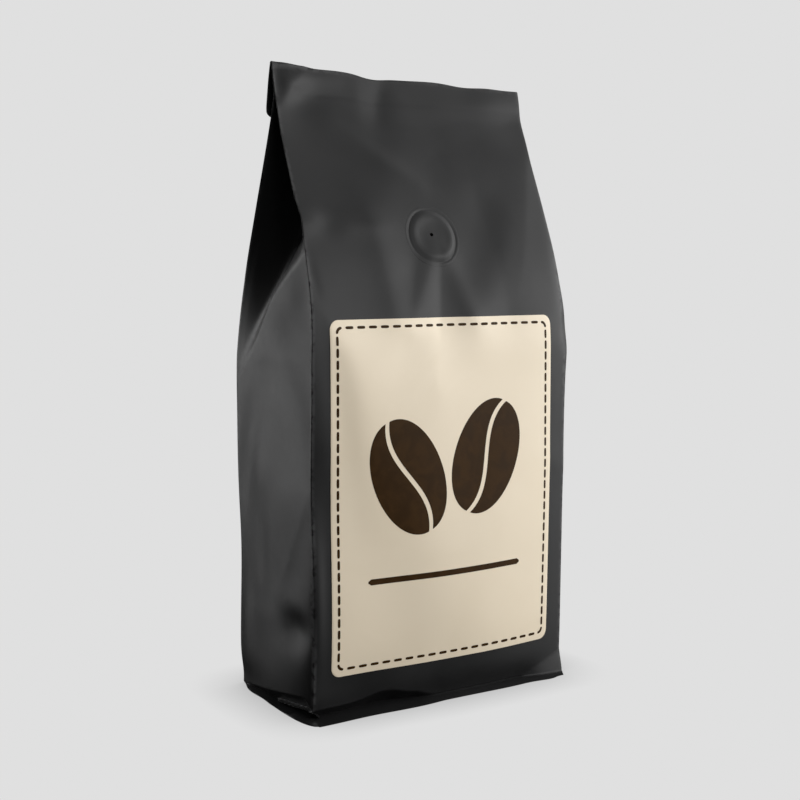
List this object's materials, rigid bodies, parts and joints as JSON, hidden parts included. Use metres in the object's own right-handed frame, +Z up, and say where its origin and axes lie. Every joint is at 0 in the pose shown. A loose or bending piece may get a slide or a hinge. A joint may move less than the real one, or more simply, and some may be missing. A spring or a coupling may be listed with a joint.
{
  "type": "coffee bag",
  "caption": "Upright sealed coffee bag of matte black film with side gussets, a folded-over top, a one-way valve and a plain cream front label.",
  "frame": {"origin": "middle of the box round the bag, at the flat base", "axes": "+Z up to the folded top, -Y out of the front with the label, X across the width"},
  "size_m": [0.1242, 0.0672, 0.246],
  "materials": {
    "film": "satin black laminated film",
    "valve_film": "satin black film pressed over the valve",
    "label_paper": "satin cream label with a dark brown dashed border"
  },
  "bodies": {
    "root": {"bag": "film", "valve": "valve_film", "label": "label_paper"}
  },
  "joints": []
}
